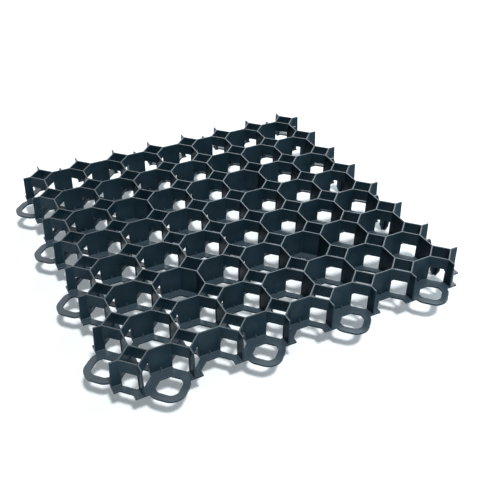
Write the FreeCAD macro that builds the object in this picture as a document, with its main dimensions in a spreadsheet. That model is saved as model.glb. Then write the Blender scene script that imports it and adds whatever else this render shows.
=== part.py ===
import FreeCAD, Part
import os
import Sketcher

# Grass paver grid, one moulding. The panel is a square net of octagon cells with a small square
# cell set cornerwise between every four of them. Its own corner is the origin while it is drawn:
# X and Y run along two edges, Z = 0 is the underside of the ring plates, and the cell in column
# i and row j has its middle at (i * pitch, j * pitch), so the edges cut the outer cells in half.

CELLS = 8  # pitches along one edge
CLOSED = (2, 5)  # columns and rows in which the squares without windows stand

SIZES = {
    "pitch": 62.5,              # middle to middle of neighbouring octagons
    "deck_height": 40.0,        # underside of the ring plates to the rim
    "rim_wall": 1.6,            # wall thickness at the rim
    "wall_draft": 0.7,          # degrees by which each wall face leans, thicker at the foot
    "square_diagonal": 35.1,    # corner to corner of a square cell, on the middle of its walls
    "edge_gap": 0.9,            # foot of the outer wall ends, inside the module line
    "edge_draft": 2.7,          # degrees by which the outer wall ends lean in
    "plate_thickness": 2.5,     # ring plates and loops
    "hole_width": 41.0,         # octagonal hole of a ring plate, across flats
    "bay_lip": 1.0,             # lip left at the wall foot where a bay has no ring plate
    "window_top": 23.0,         # underside of the plates to the top of the windows
    "window_overlap": 2.7,      # top of a window's cut, past the middle of the wall
    "window_draft": 1.0,        # degrees by which the cut widens downwards
    "corner_post": 0.75,        # top of the post left between two windows, in from the square's corner
    "loop_reach": 21.5,         # outer end of a loop, outside the module line
    "loop_band": 9.0,           # width of a loop's band
    "loop_hole": 32.5,          # hole of a loop and of the ring plate behind it, across flats
    "loop_eye": 8.5,            # straight end of a loop's hole
    "loop_shoulder": 0.5,       # straight side of a loop's hole outside the module line
    "loop_seat": 5.0,           # overlap of a loop with its ring plate
    "loop_corner": 17.0,        # radius of a loop's outer corners
    "eye_corner": 8.0,          # radius of the corners of a loop's hole
    "fin_height": 6.4,          # gusset at the wall foot, on the middle of the wall
    "fin_reach": 4.8,           # gusset, out from the middle of the wall
    "fin_thickness": 1.2,
    "spike_length": 30.0,       # tip, below the ring plates
    "spike_width": 17.0,        # blade of a spike
    "spike_tip": 8.0,           # blade of a spike at its tip
    "spike_point": 10.0,        # height of the narrowing tip
    "spike_blade": 3.0,         # thickness of the two crossed blades
    "web_height": 12.0,         # blades inside a closed square, above the plates' underside
    "web_shoulder": 8.0,        # height over which they narrow below it
    "hook_top": 7.0,            # hook rib at the rim, out from the middle of the wall
    "hook_bend": 11.5,          # hook rib at its bend, out from the middle of the wall
    "hook_drop": 12.5,          # bend of the rib, below the rim
    "hook_nose": 9.5,           # outer end of the arm, above the plates' underside
    "hook_clearance": 1.5,      # arm over the loop that it holds
    "peg_setback": 2.9,         # middle of the hook's peg, inside the module line
}

doc = FreeCAD.newDocument("GrassPaver")

sheet = doc.addObject("Spreadsheet::Sheet", "Sizes")
for row, (name, value) in enumerate(SIZES.items(), start=1):
    sheet.set(f"A{row}", name)
    sheet.set(f"B{row}", str(value))
    sheet.setAlias(f"B{row}", name)
doc.recompute()


def cell(name):
    """The expression of one size."""
    return f"Sizes.{name}"


def number(expression):
    """The present value of an expression, as a plain number."""
    value = sheet.evalExpression(expression.replace("Sizes.", ""))
    return float(getattr(value, "Value", value))


def block(name, low, high, low_half, high_half, middle="0", turn=0):
    """Four-sided block with leaning sides: the heights and half widths of its two ends, its middle
    in X and Y, and its turn about its upright axis in degrees."""
    wedge = doc.addObject("Part::Wedge", name)
    wedge.setExpression("Ymin", f"({low}) * 1 mm")
    wedge.setExpression("Ymax", f"({high}) * 1 mm")
    for side, half in (("X", low_half), ("Z", low_half), ("X2", high_half), ("Z2", high_half)):
        wedge.setExpression(f"{side}min", f"-({half}) * 1 mm")
        wedge.setExpression(f"{side}max", f"({half}) * 1 mm")
    upright = FreeCAD.Rotation(FreeCAD.Vector(0, 0, 1), turn) * FreeCAD.Rotation(FreeCAD.Vector(1, 0, 0), 90)
    wedge.Placement = FreeCAD.Placement(FreeCAD.Vector(), upright)
    wedge.setExpression("Placement.Base.x", f"({middle}) * 1 mm")
    wedge.setExpression("Placement.Base.y", f"({middle}) * 1 mm")
    return wedge


def form(name, plane, offset, outline, length, symmetric=False):
    """Body padded from one closed outline of (x, y) expressions, on an origin plane moved along its
    normal by the offset."""
    body = doc.addObject("PartDesign::Body", name)
    planes = {feature.Role: feature for feature in body.Origin.OriginFeatures}
    drawing = body.newObject("Sketcher::SketchObject", f"{name}Outline")
    drawing.AttachmentSupport = (planes[plane], [""])
    drawing.MapMode = "FlatFace"
    drawing.setExpression("AttachmentOffset.Base.z", f"({offset}) * 1 mm")
    corners = [FreeCAD.Vector(number(x), number(y), 0) for x, y in outline]
    count = len(corners)
    for k in range(count):
        drawing.addGeometry(Part.LineSegment(corners[k], corners[(k + 1) % count]), False)
    for k in range(count):
        drawing.addConstraint(Sketcher.Constraint("Coincident", k, 2, (k + 1) % count, 1))
    for k, (x, y) in enumerate(outline):
        for kind, expression, value in (("DistanceX", x, corners[k].x), ("DistanceY", y, corners[k].y)):
            rule = drawing.addConstraint(Sketcher.Constraint(kind, -1, 1, k, 1, value))
            drawing.setExpression(f"Constraints[{rule}]", f"({expression}) * 1 mm")
    pad = body.newObject("PartDesign::Pad", f"{name}Pad")
    pad.Profile = drawing
    pad.setExpression("Length", f"({length}) * 1 mm")
    if symmetric:
        pad.SideType = "Symmetric"
    body.Tip = pad
    return body


def round_corners(body, radius, straight):
    """Rounds a body's upright edges outside the module line, by no more than the half length of the
    straight end between them allows."""
    doc.recompute()
    sharp = body.Tip
    edges = []
    for index, edge in enumerate(sharp.Shape.Edges, start=1):
        if edge.BoundBox.ZLength > number(PLATE) / 2 and edge.BoundBox.YMax < 0:
            edges.append(f"Edge{index}")
    rounding = body.newObject("PartDesign::Fillet", f"{body.Name}Corners")
    rounding.Base = (sharp, edges)
    rounding.setExpression("Radius", f"min({radius}; 0.95 * {straight} / tan(22.5 deg)) * 1 mm")
    body.Tip = rounding


def octagon(flat, side, x="0", y="0"):
    """Octagon about (x, y): half its width across flats, and half the length of those flats."""
    signs = ((1, 1, 0), (1, 1, 1), (-1, 1, 1), (-1, 1, 0), (-1, -1, 0), (-1, -1, 1), (1, -1, 1), (1, -1, 0))
    points = []
    for right, up, steep in signs:
        across, along = (side, flat) if steep else (flat, side)
        points.append((f"{x} + {right} * ({across})", f"{y} + {up} * ({along})"))
    return points


def both_sides(middle, side):
    """Outline symmetric about a line, from the offsets and heights of one side."""
    right = [(f"{middle} + {out}", height) for out, height in side]
    left = [(f"{middle} - {out}", height) for out, height in reversed(side)]
    return right + left


PITCH = cell("pitch")
DECK = cell("deck_height")
PLATE = cell("plate_thickness")
MODULE = f"({CELLS} * {PITCH})"

# Slab: the outer wall ends lean in towards the rim.
edge_half = f"{MODULE} / 2 - {cell('edge_gap')}"
edge_lean = f"{DECK} * tan({cell('edge_draft')} * 1 deg)"
slab = block("Slab", "0", DECK, edge_half, f"{edge_half} - {edge_lean}", f"{MODULE} / 2")

# Octagon cells, from the rim down to the ring plates: what two leaning blocks, one of them set
# cornerwise, have in common.
lean = f"tan({cell('wall_draft')} * 1 deg)"
rim_half = f"{cell('rim_wall')} / 2"
to_wall = f"({PITCH} / 2 - {rim_half})"
square_wall = f"{cell('square_diagonal')} / sqrt(8)"
to_square = f"({PITCH} / sqrt(2) - {square_wall} - {rim_half})"
cell_lean = f"({DECK} - {PLATE}) * {lean}"
octagon_core = doc.addObject("Part::MultiCommon", "OctagonCore")
octagon_core.Shapes = [
    block("OctagonWalls", PLATE, DECK, f"{to_wall} - {cell_lean}", to_wall),
    block("OctagonSlants", PLATE, DECK, f"{to_square} - {cell_lean}", to_square, turn=45),
]

# Square cells, right through.
square_half = f"({square_wall} - {rim_half})"
square_core = block("SquareCore", "0", DECK, f"{square_half} - {DECK} * {lean}", square_half,
                    f"{PITCH} / 2", 45)

# Holes of the ring plates, smaller where the plate goes on as a loop.
hole = f"({cell('hole_width')} / 2)"
hole_core = form("RingHoleCore", "XY_Plane", "0", octagon(hole, f"{hole} * tan(22.5 deg)"), PLATE)
eye = f"({cell('loop_hole')} / 2)"
eye_core = form("LoopRingHoleCore", "XY_Plane", "0", octagon(eye, f"{eye} * tan(22.5 deg)"), PLATE)

# Bays on the two far edges: every other outer cell has no plate, to take the next panel's loop.
foot = f"({cell('bay_lip')} + {DECK} * {lean})"
bay_flat = f"({to_wall} - {foot})"
bay_side = f"({to_square} - {foot}) * sqrt(2) - {bay_flat}"
bay_core = form("BayCore", "XY_Plane", "0", octagon(bay_flat, bay_side, MODULE, PITCH), PLATE)

# Windows: one cut from below opens the lower half of a square cell's four walls, and the edges of
# the ring plates round it. Its cropped corners leave a post at each corner of the square.
window_top = cell("window_top")
window_lean = f"{window_top} * tan({cell('window_draft')} * 1 deg)"
to_window = f"{square_wall} + {cell('window_overlap')}"
to_post = f"{cell('square_diagonal')} / 2 - {cell('corner_post')}"
window_core = doc.addObject("Part::MultiCommon", "WindowCore")
window_core.Shapes = [
    block("WindowWalls", "0", window_top, f"{to_window} + {window_lean}", to_window, f"{PITCH} / 2", 45),
    block("WindowPosts", "0", window_top, f"{to_post} + {window_lean}", to_post, f"{PITCH} / 2"),
]

# Gusset between a ring plate and the wall behind it.
wall_middle = f"{PITCH} / 2"
fin_tip = f"{wall_middle} - {cell('fin_reach')}"
gusset = form("Gusset", "YZ_Plane", PITCH, [
    (wall_middle, f"{PLATE} / 2"),
    (wall_middle, f"{PLATE} + {cell('fin_height')}"),
    (fin_tip, PLATE),
    (fin_tip, f"{PLATE} / 2"),
], cell("fin_thickness"), symmetric=True)

# Loop: on the two near edges every other ring plate goes on outside the panel as a bent band. The
# corners of the band and of its hole are rounded, apart from those on the ring plate.
mitre = f"{cell('loop_band')} * tan(22.5 deg)"
eye_end = f"({cell('loop_eye')} / 2)"
loop_end = f"({eye_end} + {mitre})"
loop_outside = form("LoopOutside", "XY_Plane", "0", both_sides(PITCH, [
    (f"({eye} + {cell('loop_band')})", cell("loop_seat")),
    (f"({eye} + {cell('loop_band')})", f"-({cell('loop_shoulder')} + {mitre})"),
    (loop_end, f"-{cell('loop_reach')}"),
]), PLATE)
loop_hole = form("LoopHole", "XY_Plane", "0", both_sides(PITCH, [
    (eye, cell("loop_seat")),
    (eye, f"-{cell('loop_shoulder')}"),
    (eye_end, f"{cell('loop_band')} - {cell('loop_reach')}"),
]), PLATE)
round_corners(loop_outside, cell("loop_corner"), loop_end)
round_corners(loop_hole, cell("eye_corner"), eye_end)
loop = doc.addObject("Part::Cut", "Loop")
loop.Base = loop_outside
loop.Tool = loop_hole

# Spike under a closed square: two crossed blades that stand on a web between the square's corners.
tip = f"-{cell('spike_length')}"
point = f"{cell('spike_point')} - {cell('spike_length')}"
blade = f"({cell('spike_width')} / 2)"
blade_tip = f"({cell('spike_tip')} / 2)"
web = f"({cell('square_diagonal')} / 2)"
spike_outline = both_sides(f"{PITCH} / 2", [
    (web, cell("web_height")),
    (web, "0"),
    (blade, f"-{cell('web_shoulder')}"),
    (blade, point),
    (blade_tip, tip),
])
spike_blades = [
    form("SpikeBlade", "XZ_Plane", f"-{PITCH} / 2", spike_outline, cell("spike_blade"), symmetric=True),
    form("SpikeCrossBlade", "YZ_Plane", f"{PITCH} / 2", spike_outline, cell("spike_blade"), symmetric=True),
]

# Hook in a bay: a rib from the rim carries an arm over the next panel's loop, and a peg of two
# crossed blades goes down through the loop into the ground.
wall = f"({MODULE} - {PITCH} / 2)"
peg = f"({MODULE} - {cell('peg_setback')})"
arm = f"{PLATE} + {cell('hook_clearance')}"
hook_rib = form("HookRib", "XZ_Plane", f"-{PITCH}", [
    (wall, DECK),
    (f"{wall} + {cell('hook_top')}", DECK),
    (f"{wall} + {cell('hook_bend')}", f"{DECK} - {cell('hook_drop')}"),
    (f"{peg} + {blade}", cell("hook_nose")),
    (f"{peg} + {blade}", point),
    (f"{peg} + {blade_tip}", tip),
    (f"{peg} - {blade_tip}", tip),
    (f"{peg} - {blade}", point),
    (f"{peg} - {blade}", arm),
    (wall, arm),
], cell("spike_blade"), symmetric=True)
peg_blade = form("PegBlade", "YZ_Plane", peg, both_sides(PITCH, [
    (blade, cell("hook_nose")),
    (blade, point),
    (blade_tip, tip),
]), cell("spike_blade"), symmetric=True)
doc.recompute()


def copies(body, places):
    """Copies of a body's shape, moved by whole pitches along X and Y."""
    step = number(PITCH)
    plain = Part.Shape()
    plain.importBrepFromString(body.Shape.exportBrepToString())
    return [plain.translated(FreeCAD.Vector(i * step, j * step, 0)) for i, j in places]


def on_both_edges(shapes):
    """The shapes of one edge and their mirror images on the edge beside it."""
    diagonal = FreeCAD.Vector(1, -1, 0)
    return shapes + [shape.mirror(FreeCAD.Vector(), diagonal) for shape in shapes]


octagons = [(i, j) for i in range(CELLS + 1) for j in range(CELLS + 1)]
squares = [(i, j) for i in range(CELLS) for j in range(CELLS)]
closed = [(i, j) for i in CLOSED for j in CLOSED]
every_other = range(0, CELLS, 2)
looped = [(i + 1, 0) for i in every_other] + [(0, j + 1) for j in every_other]

# The net: the slab less its cells, holes, bays and windows.
net = copies(slab, [(0, 0)])[0]
net = net.cut(copies(octagon_core, octagons))
net = net.cut(copies(square_core, squares))
net = net.cut(copies(hole_core, [place for place in octagons if place not in looped]))
net = net.cut(copies(eye_core, looped))
net = net.cut(on_both_edges(copies(bay_core, [(0, j) for j in every_other])))
net = net.cut(copies(window_core, [place for place in squares if place not in closed]))

# What stands on the net, in one piece with it.
added = copies(gusset, [(i, j) for i in range(CELLS - 1) for j in range(CELLS)])
added += on_both_edges(copies(loop, [(i, 0) for i in every_other]))
for spike_blade in spike_blades:
    added += copies(spike_blade, closed)
for hook_part in (hook_rib, peg_blade):
    added += on_both_edges(copies(hook_part, [(0, j) for j in every_other]))

# The finished part stands on its spikes, with its box centred on the origin.
panel = doc.addObject("Part::Feature", "PaverGrid")
panel.Label = "paver_grid"
panel.Shape = net.fuse(added).removeSplitter()
middle = -number(f"({peg} + {blade} - {cell('loop_reach')}) / 2")
panel.Placement.Base = FreeCAD.Vector(middle, middle, number(cell("spike_length")))
doc.recompute()

for item in doc.Objects:
    if "Invalid" in item.State or "Error" in item.State:
        raise RuntimeError(f"{item.Label}: {item.State}")
if panel.Shape.isNull() or not panel.Shape.isValid() or len(panel.Shape.Solids) != 1:
    raise RuntimeError(f"{panel.Label}: not one valid solid")

os.makedirs("parts", exist_ok=True)
panel.Shape.exportStep(f"parts/{panel.Label}.step")
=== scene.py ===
import math

import bpy
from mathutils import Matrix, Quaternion, Vector


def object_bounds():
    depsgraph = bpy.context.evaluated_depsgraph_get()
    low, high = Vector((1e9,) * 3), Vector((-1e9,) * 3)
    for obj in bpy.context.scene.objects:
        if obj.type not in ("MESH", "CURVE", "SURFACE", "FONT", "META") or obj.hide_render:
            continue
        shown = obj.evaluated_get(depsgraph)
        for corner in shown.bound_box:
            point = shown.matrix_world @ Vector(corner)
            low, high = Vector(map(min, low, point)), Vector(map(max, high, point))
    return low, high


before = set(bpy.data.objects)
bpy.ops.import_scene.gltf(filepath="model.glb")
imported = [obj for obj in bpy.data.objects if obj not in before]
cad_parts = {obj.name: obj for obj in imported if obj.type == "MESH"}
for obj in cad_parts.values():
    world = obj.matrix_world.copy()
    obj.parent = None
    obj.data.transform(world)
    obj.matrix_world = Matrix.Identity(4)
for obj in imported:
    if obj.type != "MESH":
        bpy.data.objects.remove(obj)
cad_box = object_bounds()

# Camera, in metres, degrees and millimetres: where it stands, where it looks, how far it is rolled, and
# its lens.
CAMERA_PLACE = (-0.3510, -0.7669, 0.6453)
CAMERA_AZIMUTH = 63.707     # from +X towards +Y
CAMERA_ELEVATION = 36.383   # looking down
CAMERA_ROLL = 0.269
CAMERA_LENS = 52.57
SENSOR_WIDTH = 36.0

# Light: a key from the front right, a softbox behind the panel that the rims catch, another at its
# right-hand side for the wall ends, and a white surround that gives little light.
KEY_ELEVATION = 66.3
KEY_AZIMUTH = -86.0         # side that the light comes from
KEY_STRENGTH = 2.65
KEY_SPREAD = 8.0            # degrees, softens the shadows
SOFTBOXES = {               # azimuth, elevation, and brightness as power / (pi * area)
    "back": (50.0, 38.0, 2.4),
    "side": (-14.0, 24.0, 2.0),
}
SOFTBOX_DISTANCE = 1.6
SOFTBOX_SIZE = (1.3, 0.7)
SOFTBOX_COLOUR = (0.80, 0.93, 1.0)
SURROUND_COLOUR = (1.0, 1.0, 1.0, 1.0)
SURROUND_LIGHT = 0.12
SURROUND_SEEN = 1.0         # by the camera, and in gloss and glass

# Colours of the plastic: its two cloud tones, painted light on its level faces, and paler edges (rubbed
# wear and painted highlight).
DEEP = (0.006, 0.020, 0.031, 1.0)
PALE = (0.025, 0.055, 0.078, 1.0)
PAINTED_LEVEL_LIGHT = (0.050, 0.076, 0.098, 1.0)
EDGE_WEAR_AND_HIGHLIGHT = (0.100, 0.125, 0.140, 1.0)

# Noises in the plastic. The scale of clouds and grain is per metre, and that of tool marks is per pitch
# of the octagon cells that they run round. Streaks are stretched down the walls.
CLOUDS = {"Scale": 26.0, "Detail": 4.0}
GRAIN = {"Scale": 1800.0, "Detail": 2.0}
TOOL_MARKS = {"Scale": 34.0, "Detail": 2.0}
STREAKS = {"Scale": 1.0, "Detail": 3.0}
STREAK_STRETCH = (170.0, 170.0, 12.0)    # per metre, along X, Y and Z
PITCH = 0.0625
LOOP_REACH = 0.0215         # edge of the panel's box to the middles of its first cells

# Ranges that those noises and the surface's normal are read over, and what they are turned into.
UNIT = (0.0, 1.0)
NOISE_CORE = (0.3, 0.7)     # where most of a noise lies
TONES = (0.35, 0.65)        # from deep to pale
WALL_TO_LEVEL = (0.45, 0.85)    # upward part of the normal
FLAT_TO_EDGE = (0.995, 0.86)    # cosine between the normal and its rounded form
FAINT = (0.4, 0.6)          # streaks, weaker than the tool marks
PAINTED_LEVEL_LIGHT_SHARE = (0.55, 1.0)      # share of the painted light colour on level faces
EDGE_WEAR_AND_HIGHLIGHT_SHARE = (0.4, 1.0)        # share of the paler edge colour, wear and painted highlight, on edges
ROUGHNESS = (0.22, 0.38)

# Finish of the plastic: how round its edges look, its relief, and its gloss.
EDGE_RADIUS = 0.0006
EDGE_SAMPLES = 4
MARKS_TO_GRAIN = 1.5        # height of the marks in the relief, where the grain's is 1
RELIEF = {"Strength": 0.06, "Distance": 0.0002}
GLOSS = {"Specular IOR Level": 0.1, "Coat Roughness": 0.25}

# Floor: pale, and lifted towards white where it is seen, so that only the shadows show.
FLOOR_COLOUR = (0.89, 0.93, 0.96, 1.0)
FLOOR_LIFT = 0.24
LIFT_COLOUR = (0.86, 0.95, 1.0, 1.0)
FLOOR_SIZE = 8.0


class Nodes:
    """The node tree of a material or world, with short calls for adding and linking nodes."""

    def __init__(self, owner, output):
        owner.use_nodes = True
        self.tree = owner.node_tree
        self.tree.nodes.clear()
        self.output = self.add(output)

    def add(self, kind, links=None, inputs=None, **attributes):
        """New node: its attributes, then plain values and links by the name or number of an input."""
        node = self.tree.nodes.new(kind)
        for name, value in attributes.items():
            setattr(node, name, value)
        for name, value in (inputs or {}).items():
            node.inputs[name].default_value = value
        for name, source in (links or {}).items():
            self.tree.links.new(source, node.inputs[name])
        return node

    def split(self, vector):
        return self.add("ShaderNodeSeparateXYZ", {0: vector}).outputs

    def math(self, operation, *terms):
        """One step of arithmetic on sockets and plain numbers."""
        links = {k: term for k, term in enumerate(terms) if not isinstance(term, float)}
        numbers = {k: term for k, term in enumerate(terms) if isinstance(term, float)}
        return self.add("ShaderNodeMath", links, numbers, operation=operation).outputs["Value"]

    def remap(self, value, old=UNIT, new=UNIT):
        """A value moved from one range to another, and kept inside it."""
        ends = {"From Min": old[0], "From Max": old[1], "To Min": new[0], "To Max": new[1]}
        return self.add("ShaderNodeMapRange", {"Value": value}, ends).outputs["Result"]

    def noise(self, place, sizes):
        """Noise over places in space."""
        return self.add("ShaderNodeTexNoise", {"Vector": place}, sizes).outputs["Fac"]

    def noise_along(self, number, sizes):
        """Noise along a plain number."""
        return self.add("ShaderNodeTexNoise", {"W": number}, sizes, noise_dimensions="1D").outputs["Fac"]

    def mix(self, factor, low, high):
        """Between two colours, or two sockets, by a factor."""
        node = self.add("ShaderNodeMix", {"Factor": factor}, data_type="RGBA")
        ends = [socket for socket in node.inputs if socket.enabled and socket.name in ("A", "B")]
        for socket, value in zip(ends, (low, high)):
            if isinstance(value, tuple):
                socket.default_value = value
            else:
                self.tree.links.new(value, socket)
        return next(socket for socket in node.outputs if socket.enabled)

    def seen(self):
        """1 for rays by which a thing is seen, directly or in gloss or glass, and 0 for other light."""
        path = self.add("ShaderNodeLightPath").outputs
        directly_or_in_gloss = self.math("MAXIMUM", path["Is Camera Ray"], path["Is Glossy Ray"])
        return self.math("MAXIMUM", directly_or_in_gloss, path["Is Transmission Ray"])

    def finish(self, shader):
        self.tree.links.new(shader, self.output.inputs["Surface"])


def out_from_cell(nodes, place):
    """How far out from its octagon cell's middle a point lies, square to the nearest side, in pitches."""
    first_cell = cad_box[0][0] + LOOP_REACH
    half_pitch = 0.5
    across, along = [
        nodes.math("PINGPONG", nodes.math("MULTIPLY_ADD", axis, 1 / PITCH, -first_cell / PITCH), half_pitch)
        for axis in nodes.split(place)[:2]
    ]
    slant = nodes.math("MULTIPLY", nodes.math("ADD", across, along), math.sqrt(0.5))
    return nodes.math("MAXIMUM", nodes.math("MAXIMUM", across, along), slant)


def moulded_plastic():
    """Dark plastic: clouded colour, tool marks round the cells' plates, flow streaks down the walls, level
    faces painted paler as painted light, paler edges that are partly rubbed wear and partly painted
    highlight, and more gloss on the level faces than on the walls."""
    material = bpy.data.materials.new("moulded_plastic")
    nodes = Nodes(material, "ShaderNodeOutputMaterial")
    place = nodes.add("ShaderNodeTexCoord").outputs["Object"]
    facing = nodes.add("ShaderNodeNewGeometry").outputs["Normal"]
    level = nodes.remap(nodes.split(facing)["Z"], WALL_TO_LEVEL)

    tool_marks = nodes.noise_along(out_from_cell(nodes, place), TOOL_MARKS)
    stretched = nodes.add("ShaderNodeVectorMath", {0: place}, {1: STREAK_STRETCH}, operation="MULTIPLY")
    streaks = nodes.remap(nodes.noise(stretched.outputs["Vector"], STREAKS), new=FAINT)
    marks = nodes.mix(level, streaks, tool_marks)

    clouds = nodes.noise(place, CLOUDS)
    tone = nodes.math("MULTIPLY", nodes.math("ADD", clouds, marks), 0.5)    # their mean
    colour = nodes.mix(nodes.remap(tone, TONES), DEEP, PALE)
    # Painted light: level faces painted paler, as if lit from above.
    painted_level_light = nodes.math("MULTIPLY", level, nodes.remap(tone, NOISE_CORE, PAINTED_LEVEL_LIGHT_SHARE))
    colour = nodes.mix(painted_level_light, colour, PAINTED_LEVEL_LIGHT)

    bevel = nodes.add("ShaderNodeBevel", inputs={"Radius": EDGE_RADIUS}, samples=EDGE_SAMPLES)
    rounded = bevel.outputs["Normal"]
    bend = nodes.add("ShaderNodeVectorMath", {0: rounded, 1: facing}, operation="DOT_PRODUCT")
    edge = nodes.remap(bend.outputs["Value"], FLAT_TO_EDGE)
    # Paler edges: partly rubbed wear, partly a painted highlight along them.
    edge_wear_and_highlight = nodes.math("MULTIPLY", edge, nodes.remap(clouds, NOISE_CORE, EDGE_WEAR_AND_HIGHLIGHT_SHARE))
    colour = nodes.mix(edge_wear_and_highlight, colour, EDGE_WEAR_AND_HIGHLIGHT)

    height = nodes.math("ADD", nodes.noise(place, GRAIN), nodes.math("MULTIPLY", marks, MARKS_TO_GRAIN))
    bump = nodes.add("ShaderNodeBump", {"Height": height, "Normal": rounded}, RELIEF).outputs["Normal"]
    shader = nodes.add("ShaderNodeBsdfPrincipled", {
        "Base Color": colour,
        "Roughness": nodes.remap(marks, NOISE_CORE, ROUGHNESS),
        "Normal": bump,
        "Coat Weight": level,
        "Coat Normal": bump,
    }, GLOSS)
    nodes.finish(shader.outputs["BSDF"])
    return material


def pale_floor():
    """White paper: diffuse for the light it throws back, lifted towards white where it is seen."""
    material = bpy.data.materials.new("pale_floor")
    nodes = Nodes(material, "ShaderNodeOutputMaterial")
    lift = nodes.math("MULTIPLY", nodes.seen(), FLOOR_LIFT)
    paper = nodes.add("ShaderNodeBsdfDiffuse", inputs={"Color": FLOOR_COLOUR})
    white = nodes.add("ShaderNodeEmission", {"Strength": lift}, {"Color": LIFT_COLOUR})
    both = nodes.add("ShaderNodeAddShader", {0: paper.outputs["BSDF"], 1: white.outputs["Emission"]})
    nodes.finish(both.outputs["Shader"])
    return material


def add_floor():
    bpy.ops.mesh.primitive_plane_add(size=FLOOR_SIZE)
    floor = bpy.context.object
    floor.name = "floor"
    floor.data.materials.append(pale_floor())


def direction(azimuth, elevation):
    """Unit vector towards an azimuth and elevation in degrees."""
    a, e = math.radians(azimuth), math.radians(elevation)
    return Vector((math.cos(a) * math.cos(e), math.sin(a) * math.cos(e), math.sin(e)))


def add_turned(name, data, turn, location=(0.0, 0.0, 0.0)):
    """Puts a lamp or camera into the scene, turned by a quaternion."""
    thing = bpy.data.objects.new(name, data)
    thing.location = location
    thing.rotation_mode = "QUATERNION"
    thing.rotation_quaternion = turn
    bpy.context.scene.collection.objects.link(thing)
    return thing


def add_key():
    sun = bpy.data.lights.new("key", "SUN")
    sun.energy = KEY_STRENGTH
    sun.angle = math.radians(KEY_SPREAD)
    add_turned("key", sun, direction(KEY_AZIMUTH, KEY_ELEVATION).to_track_quat("Z", "Y"))


def add_softboxes():
    """Soft lamps that face the panel and that the camera doesn't see."""
    width, height = SOFTBOX_SIZE
    for name, (azimuth, elevation, brightness) in SOFTBOXES.items():
        lamp = bpy.data.lights.new(name, "AREA")
        lamp.shape = "RECTANGLE"
        lamp.size = width
        lamp.size_y = height
        lamp.color = SOFTBOX_COLOUR
        lamp.energy = brightness * math.pi * width * height
        side = direction(azimuth, elevation)
        softbox = add_turned(name, lamp, side.to_track_quat("Z", "Y"), side * SOFTBOX_DISTANCE)
        softbox.visible_camera = False


def add_surround():
    """White world that is seen brighter than it lights."""
    world = bpy.data.worlds.new("surround")
    nodes = Nodes(world, "ShaderNodeOutputWorld")
    strength = nodes.remap(nodes.seen(), new=(SURROUND_LIGHT, SURROUND_SEEN))
    sky = nodes.add("ShaderNodeBackground", {"Strength": strength}, {"Color": SURROUND_COLOUR})
    nodes.finish(sky.outputs["Background"])
    bpy.context.scene.world = world


def add_camera():
    lens = bpy.data.cameras.new("camera")
    lens.lens = CAMERA_LENS
    lens.sensor_width = SENSOR_WIDTH
    aim = direction(CAMERA_AZIMUTH, -CAMERA_ELEVATION).to_track_quat("-Z", "Y")
    roll = Quaternion((0.0, 0.0, 1.0), math.radians(CAMERA_ROLL))
    bpy.context.scene.camera = add_turned("camera", lens, aim @ roll, CAMERA_PLACE)


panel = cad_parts["paver_grid"]
panel.data.materials.clear()
panel.data.materials.append(moulded_plastic())
add_floor()
add_key()
add_softboxes()
add_surround()
add_camera()
bpy.context.scene.view_settings.view_transform = "Standard"
